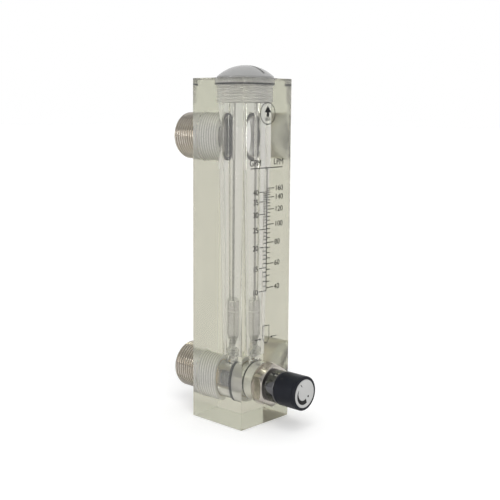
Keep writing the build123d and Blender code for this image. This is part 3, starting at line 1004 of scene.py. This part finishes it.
class Print:
    """Thin raised ink on a face that looks towards -Y: shapes are outlines in x and z."""

    def __init__(self, name, face_y):
        self.name = name
        self.face_y = face_y
        self.verts = []
        self.faces = []

    def shape(self, points):
        """A filled outline."""
        first = len(self.verts)
        count = len(points)
        for y in (self.face_y - INK_DEPTH, self.face_y + INK_DEPTH):
            self.verts += [Vector((x, y, z)) * MM for x, z in points]
        self.faces.append(list(range(first, first + count)))
        self.faces.append(list(range(first + count, first + 2 * count)))
        for i in range(count):
            j = (i + 1) % count
            self.faces.append([first + i, first + j, first + count + j, first + count + i])

    def line(self, start, end, width=LINE):
        """A straight stroke."""
        a, b = Vector(start), Vector(end)
        side = (b - a).orthogonal().normalized() * (width / 2)
        self.shape([tuple(p) for p in (a - side, b - side, b + side, a + side)])

    def lines(self, points, width=LINE):
        """A run of joined strokes, each a little long so that the corners fill."""
        for start, end in zip(points, points[1:]):
            a, b = Vector(start), Vector(end)
            reach = (b - a).normalized() * (width / 2)
            self.line(tuple(a - reach), tuple(b + reach), width)

    def text(self, words, x, z, height, narrow=1.05, align="CENTER"):
        """A line of lettering centred on a height, from the built-in font, struck twice to be bolder."""
        data = bpy.data.curves.new("lettering", "FONT")
        data.body = words
        data.align_x = align
        data.extrude = INK_DEPTH * MM
        data.size = height * MM / CAPITAL_SHARE
        piece = add_object("lettering", data)
        mesh = evaluated_mesh(piece)
        for shift in (-STRIKE_SHIFT, STRIKE_SHIFT):
            first = len(self.verts)
            for vert in mesh.vertices:
                across, up, out = vert.co
                left = (x + shift) * MM + across * narrow
                self.verts.append(Vector((left, self.face_y * MM - out, (z - height / 2) * MM + up)))
            self.faces += [[first + i for i in face.vertices] for face in mesh.polygons]
        bpy.data.objects.remove(piece)
        bpy.data.curves.remove(data)
        bpy.data.meshes.remove(mesh)

    def finish(self, body, slot):
        """The piece that carries all the ink."""
        mesh = finished_mesh(self.name, self.verts, self.faces)
        return dress(add_object(self.name, mesh), ink, body, slot)


# The upright line of the scale and the header line over it
SCALE_X = -0.3
SCALE_LINE = 0.8
SCALE_TOP_Z = 177.4
HEADER_START = (-16.5, 177.2)
HEADER_END = (15.4, 177.6)
HEADER_LINE = 0.6
MAJOR_TICK = 7.2
MINOR_TICK = 3.5
DIGIT_HEIGHT = 3.7
UNIT_HEIGHT = 4.2
UNIT_NARROW = 0.95
GALLONS_PLACE = (-11.7, 180.9)
LITRES_PLACE = (11.2, 181.5)

# Flows that the scale shows, and their heights: a rise for each litre, with a bend that closes them up
LITRES_A_GALLON = 3.785
LITRES = range(40, 165, 5)
GALLONS = range(10, 41)
FIRST_MARK_Z = 95.4
RISE_A_LITRE = 0.7273
SCALE_BEND = 0.002655
BEND_LITRES = 100


def reading_height(litres):
    """Height of a flow on the scale, whose marks draw together towards the top."""
    over = litres - LITRES[0]
    return FIRST_MARK_Z + RISE_A_LITRE * over - SCALE_BEND * over * (litres - BEND_LITRES)


def mark_scale(ink_print, flows, litres_each, major_step, side, number_gap, align):
    """Ticks on one side of the scale's line, with a number at each long one."""
    for flow in flows:
        z = reading_height(flow * litres_each)
        major = flow % major_step == 0
        tick = MAJOR_TICK if major else MINOR_TICK
        ink_print.line((SCALE_X, z), (SCALE_X + side * tick, z))
        if major:
            number_x = SCALE_X + side * (MAJOR_TICK + number_gap)
            ink_print.text(str(flow), number_x, z, DIGIT_HEIGHT, align=align)


def scale_piece():
    """Two flow scales on one line, with their unit marks, and two plain signs."""
    ink_print = Print("scale", block.y0)
    foot_z = reading_height(GALLONS[0] * LITRES_A_GALLON) - LINE / 2
    ink_print.line(HEADER_START, HEADER_END, HEADER_LINE)
    ink_print.line((SCALE_X, SCALE_TOP_Z), (SCALE_X, foot_z), SCALE_LINE)
    mark_scale(ink_print, LITRES, 1, major_step=20, side=1, number_gap=0.9, align="LEFT")
    mark_scale(ink_print, GALLONS, LITRES_A_GALLON, major_step=5, side=-1, number_gap=0.8, align="RIGHT")
    ink_print.text("GPM", *GALLONS_PLACE, UNIT_HEIGHT, UNIT_NARROW)
    ink_print.text("LPM", *LITRES_PLACE, UNIT_HEIGHT, UNIT_NARROW)
    flow_sign(ink_print)
    float_sign(ink_print)
    return ink_print.finish("housing", "black_rubber")


def flow_sign(ink_print):
    """An upward flow arrow over two bars, in a thin ring."""
    z = 213.5
    tip_z = z + 5.0
    head_z = z + 0.8
    tail_z = z - 2.2
    half_head = 3.4
    half_shaft = 1.1
    half_bar = 2.6
    ring = circle(0.0, z, 7.2, 48)
    ink_print.lines([*ring, ring[0]], 0.45)
    ink_print.shape([(0.0, tip_z), (-half_head, head_z), (half_head, head_z)])
    shaft_z = head_z + INK_DEPTH
    shaft = [(-half_shaft, shaft_z), (-half_shaft, tail_z), (half_shaft, tail_z), (half_shaft, shaft_z)]
    ink_print.shape(shaft)
    for bar_z in (z - 3.0, z - 4.2):
        ink_print.line((-half_bar, bar_z), (half_bar, bar_z))


def float_sign(ink_print):
    """A float in outline with the line at its widest edge where the flow is read."""
    z = 57.0
    read_z = z + 3.4
    top_z = z + 12.0
    half_nose = 1.2
    half = 3.2
    line = 0.5
    left = [(-half, top_z), (-half, read_z), (-half_nose, z)]
    right = [(half_nose, z), (half, read_z), (half, top_z)]
    ink_print.lines([(-half_nose, z), *right, *left], line)
    arrow_x = 4.4
    arrow = 2.0
    half_arrow = 0.8
    line_end_x = 11.0
    for side in (-1, 1):
        tip = side * arrow_x
        back = tip + side * arrow
        ink_print.line((tip, read_z), (side * line_end_x, read_z), line)
        ink_print.shape([(tip, read_z), (back, read_z + half_arrow), (back, read_z - half_arrow)])


def disc_print_piece():
    """Flow sign on the knob's disc: a crescent that widens, a tick and a dot."""
    ink_print = Print("disc_print", cad["knob_disc"].y0)
    steps = 40
    start = 152
    sweep = 138
    outer = []
    inner = []
    for k in range(steps + 1):
        t = k / steps
        angle = radians(start + sweep * t)
        wide = 6.9 + 0.9 * sin(pi * t) ** 0.8
        narrow = 6.7 - 2.9 * t**1.2
        outer.append((wide * cos(angle), inlet_z + wide * sin(angle)))
        inner.append((narrow * cos(angle), inlet_z + narrow * sin(angle)))
    for k in range(steps):
        ink_print.shape([outer[k], outer[k + 1], inner[k + 1], inner[k]])
    tick = [(-4.1, inlet_z + 6.9), (-2.6, inlet_z + 5.0)]
    ink_print.line(*tick, 0.5)
    ink_print.shape(circle(3.7, inlet_z - 2.5, 0.75, 20))
    return ink_print.finish("knob_unit", "black_plastic")


# The pieces, from the top down and then along the valve

block_piece()
top_plug_piece()
seal_piece("plug_seal", "top_plug_seal", BORE, PLUG_THREAD.radius, press=PLUG_SEAL_PRESS)
rod_piece()
ring_piece("upper_stop", "upper_float_stop", BORE, ROD_HOLE_RADIUS, steel_z, "housing", "stainless_steel")
ring_piece(
    "lower_stop", "lower_float_stop", BORE, ROD_HOLE_RADIUS, white_plastic, "housing", "white_plastic"
)
dress_node("rod_support", clear_moulded)
dress_node("rod_nut", steel_z)
float_piece()
port_piece("outlet_fitting", "outlet_port", OUTLET)
port_piece("inlet_fitting", "inlet_port", INLET)
seal_piece("outlet_seal", "outlet_port_seal", OUTLET, PORT_SEAL_BORE, ease=GAP)
seal_piece("inlet_seal", "inlet_port_seal", INLET, PORT_SEAL_BORE, ease=GAP)
seat_piece()
bonnet_piece()
seal_piece("bonnet_ring", "bonnet_seal", INLET, BONNET_SEAL_BORE, edge=0.15, press=BONNET_SEAL_PRESS)
dress_node("stem_packing", white_plastic)
gland_piece()
plunger_piece()
seal_piece("plunger_disc", "plunger_seal", INLET, PLUNGER_SEAL_BORE, "plunger_unit", edge=0.4)
dress_node("plunger_washer", brass)
dress_node("plunger_screw", brass)
stem_piece()
knob_piece()
disc_piece()
dress_node("knob_set_screw", dark_steel)
scale_piece()
disc_print_piece()


# Camera at the photograph's place: its turn, its tilt and its roll in radians

CAMERA_PLACE = Vector((-452.1, -433.7, 213.6))
CAMERA_TURN = 0.7495
CAMERA_TILT = 0.1312
CAMERA_ROLL = 0.0078
FOCAL_PIXELS = 908.0
PHOTO_PIXELS = 500
PHOTO_CENTRE = (255.1, 233.1)


def add_camera():
    """A camera that frames the object as the photograph does."""
    data = bpy.data.cameras.new("camera")
    data.sensor_width = 36
    data.lens = FOCAL_PIXELS * data.sensor_width / PHOTO_PIXELS
    data.shift_x = (PHOTO_PIXELS / 2 - PHOTO_CENTRE[0]) / PHOTO_PIXELS
    data.shift_y = (PHOTO_CENTRE[1] - PHOTO_PIXELS / 2) / PHOTO_PIXELS
    data.clip_start = 0.01
    data.clip_end = 50
    ahead = Vector(
        (cos(CAMERA_TURN) * cos(CAMERA_TILT), sin(CAMERA_TURN) * cos(CAMERA_TILT), -sin(CAMERA_TILT))
    )
    level = Vector((sin(CAMERA_TURN), -cos(CAMERA_TURN), 0))
    upright = level.cross(ahead)
    right = cos(CAMERA_ROLL) * level + sin(CAMERA_ROLL) * upright
    up = cos(CAMERA_ROLL) * upright - sin(CAMERA_ROLL) * level
    turn = Matrix((right, up, -ahead)).transposed().to_4x4()
    camera = add_object("camera", data)
    camera.matrix_world = Matrix.Translation(CAMERA_PLACE * MM) @ turn
    bpy.context.scene.camera = camera


# Studio

# How bright the walls and the ceiling look in a mirror, and their shares behind the camera and opposite
WALL_LEVEL = 0.62
CEILING_LEVEL = 0.6
BEHIND_SHARE = 0.4
OPPOSITE_SHARE = 1.5
# How bright they show through the clear block, low down and high up, and how much light they give
THROUGH_LEVEL = 0.7
THROUGH_CEILING_LEVEL = 0.5
LIGHT_LEVEL = 0.75
# The floor's own light for the camera, how even it shows through the block, and the air under the block
FLOOR_LEVEL = 0.24
FLOOR_THROUGH_SHARE = 0.85
AIR_UNDER_BLOCK = 0.3


def add_lamp(name, kind, place_at, target, energy):
    """A lamp at a place in metres that faces a point."""
    data = bpy.data.lights.new(name, kind)
    data.energy = energy
    light = add_object(name, data)
    light.location = place_at
    light.rotation_euler = (Vector(target) - Vector(place_at)).to_track_quat("-Z", "Y").to_euler()
    return light


def add_key():
    """A broad sun from the front left, which gives the soft shadow and no highlights."""
    light = add_lamp("key", "SUN", place_at=(-0.8, -0.9, 1.5), target=(0, 0, 0), energy=1.2)
    light.data.angle = radians(35)
    light.visible_glossy = False


def add_strip():
    """A soft strip on the left that shows only in reflections."""
    light = add_lamp("strip_low", "AREA", place_at=(-0.9, 0.25, 0.35), target=(0, 0, 0.1), energy=1.5)
    light.data.shape = "RECTANGLE"
    light.data.size = 0.1
    light.data.size_y = 0.5
    light.visible_diffuse = False
    light.visible_camera = False


def add_world():
    """A studio: white to the camera, nearly even all round, dimmer behind the camera, brighter opposite."""
    world = bpy.data.worlds.new("studio")
    bpy.context.scene.world = world
    world.use_nodes = True
    tree = world.node_tree
    background = tree.nodes["Background"]
    background.inputs["Color"].default_value = (1, 1, 1, 1)
    path = tree.nodes.new("ShaderNodeLightPath")
    direction = tree.nodes.new("ShaderNodeTexCoord").outputs["Generated"]
    split = tree.nodes.new("ShaderNodeSeparateXYZ")
    tree.links.new(direction, split.inputs[0])
    upward = split.outputs["Z"]

    def ramp(source, start, end, low, high):
        node = tree.nodes.new("ShaderNodeMapRange")
        node.interpolation_type = "SMOOTHSTEP"
        set_range(node, start, end, low, high)
        tree.links.new(source, node.inputs["Value"])
        return node.outputs["Result"]

    def mix(factor, first, second):
        node = tree.nodes.new("ShaderNodeMix")
        tree.links.new(factor, node.inputs["Factor"])
        for key, value in (("A", first), ("B", second)):
            if isinstance(value, float):
                node.inputs[key].default_value = value
            else:
                tree.links.new(value, node.inputs[key])
        return node.outputs["Result"]

    def product(first, second):
        node = tree.nodes.new("ShaderNodeMath")
        node.operation = "MULTIPLY"
        tree.links.new(first, node.inputs[0])
        tree.links.new(second, node.inputs[1])
        return node.outputs[0]

    along = tree.nodes.new("ShaderNodeVectorMath")
    along.operation = "DOT_PRODUCT"
    along.inputs[1].default_value = (-cos(CAMERA_TURN), -sin(CAMERA_TURN), 0)
    tree.links.new(direction, along.inputs[0])
    behind = along.outputs["Value"]

    walls = product(
        ramp(upward, 0.2, 0.6, WALL_LEVEL, CEILING_LEVEL), ramp(behind, 0.4, 0.98, 1.0, BEHIND_SHARE)
    )
    mirrored = product(walls, ramp(behind, -0.6, -0.2, OPPOSITE_SHARE, 1.0))
    through = ramp(upward, 0.1, 0.8, THROUGH_LEVEL, THROUGH_CEILING_LEVEL)
    light = mix(path.outputs["Is Transmission Ray"], mirrored, through)
    light = mix(path.outputs["Is Diffuse Ray"], light, LIGHT_LEVEL)
    tree.links.new(mix(path.outputs["Is Camera Ray"], light, 1.0), background.inputs["Strength"])


def add_floor():
    """A pale floor that shows white and keeps the object's shadow."""
    size = 12.0
    mesh = bpy.data.meshes.new("floor")
    corners = [(-size, -size), (size, -size), (size, size), (-size, size)]
    mesh.from_pydata([(x, y, -AIR_UNDER_BLOCK * MM) for x, y in corners], [], [(0, 1, 2, 3)])
    floor = add_object("floor", mesh)
    m = Nodes("floor")
    m.set(Base_Color=(0.82, 0.82, 0.82, 1), Roughness=0.9, Specular_IOR_Level=0.1)
    m.set(Emission_Color=(1, 1, 1, 1))
    path = m.add("ShaderNodeLightPath")
    m.link(m.math("MULTIPLY", path.outputs["Is Camera Ray"], FLOOR_LEVEL), "Emission Strength")
    seen_through = m.add("ShaderNodeEmission")
    seen_through.inputs["Color"].default_value = (1.0, 0.97, 1.0, 1)
    seen_through.inputs["Strength"].default_value = THROUGH_LEVEL
    mixed = m.add("ShaderNodeMixShader")
    share = m.math("MULTIPLY", path.outputs["Is Transmission Ray"], FLOOR_THROUGH_SHARE)
    m.link(share, mixed.inputs["Fac"])
    m.link(m.shader.outputs["BSDF"], mixed.inputs[1])
    m.link(seen_through.outputs["Emission"], mixed.inputs[2])
    m.link(mixed.outputs["Shader"], m.output.inputs["Surface"])
    floor.data.materials.append(m.material)


add_camera()
add_world()
add_floor()
add_key()
add_strip()
bpy.context.scene.view_settings.view_transform = "Standard"
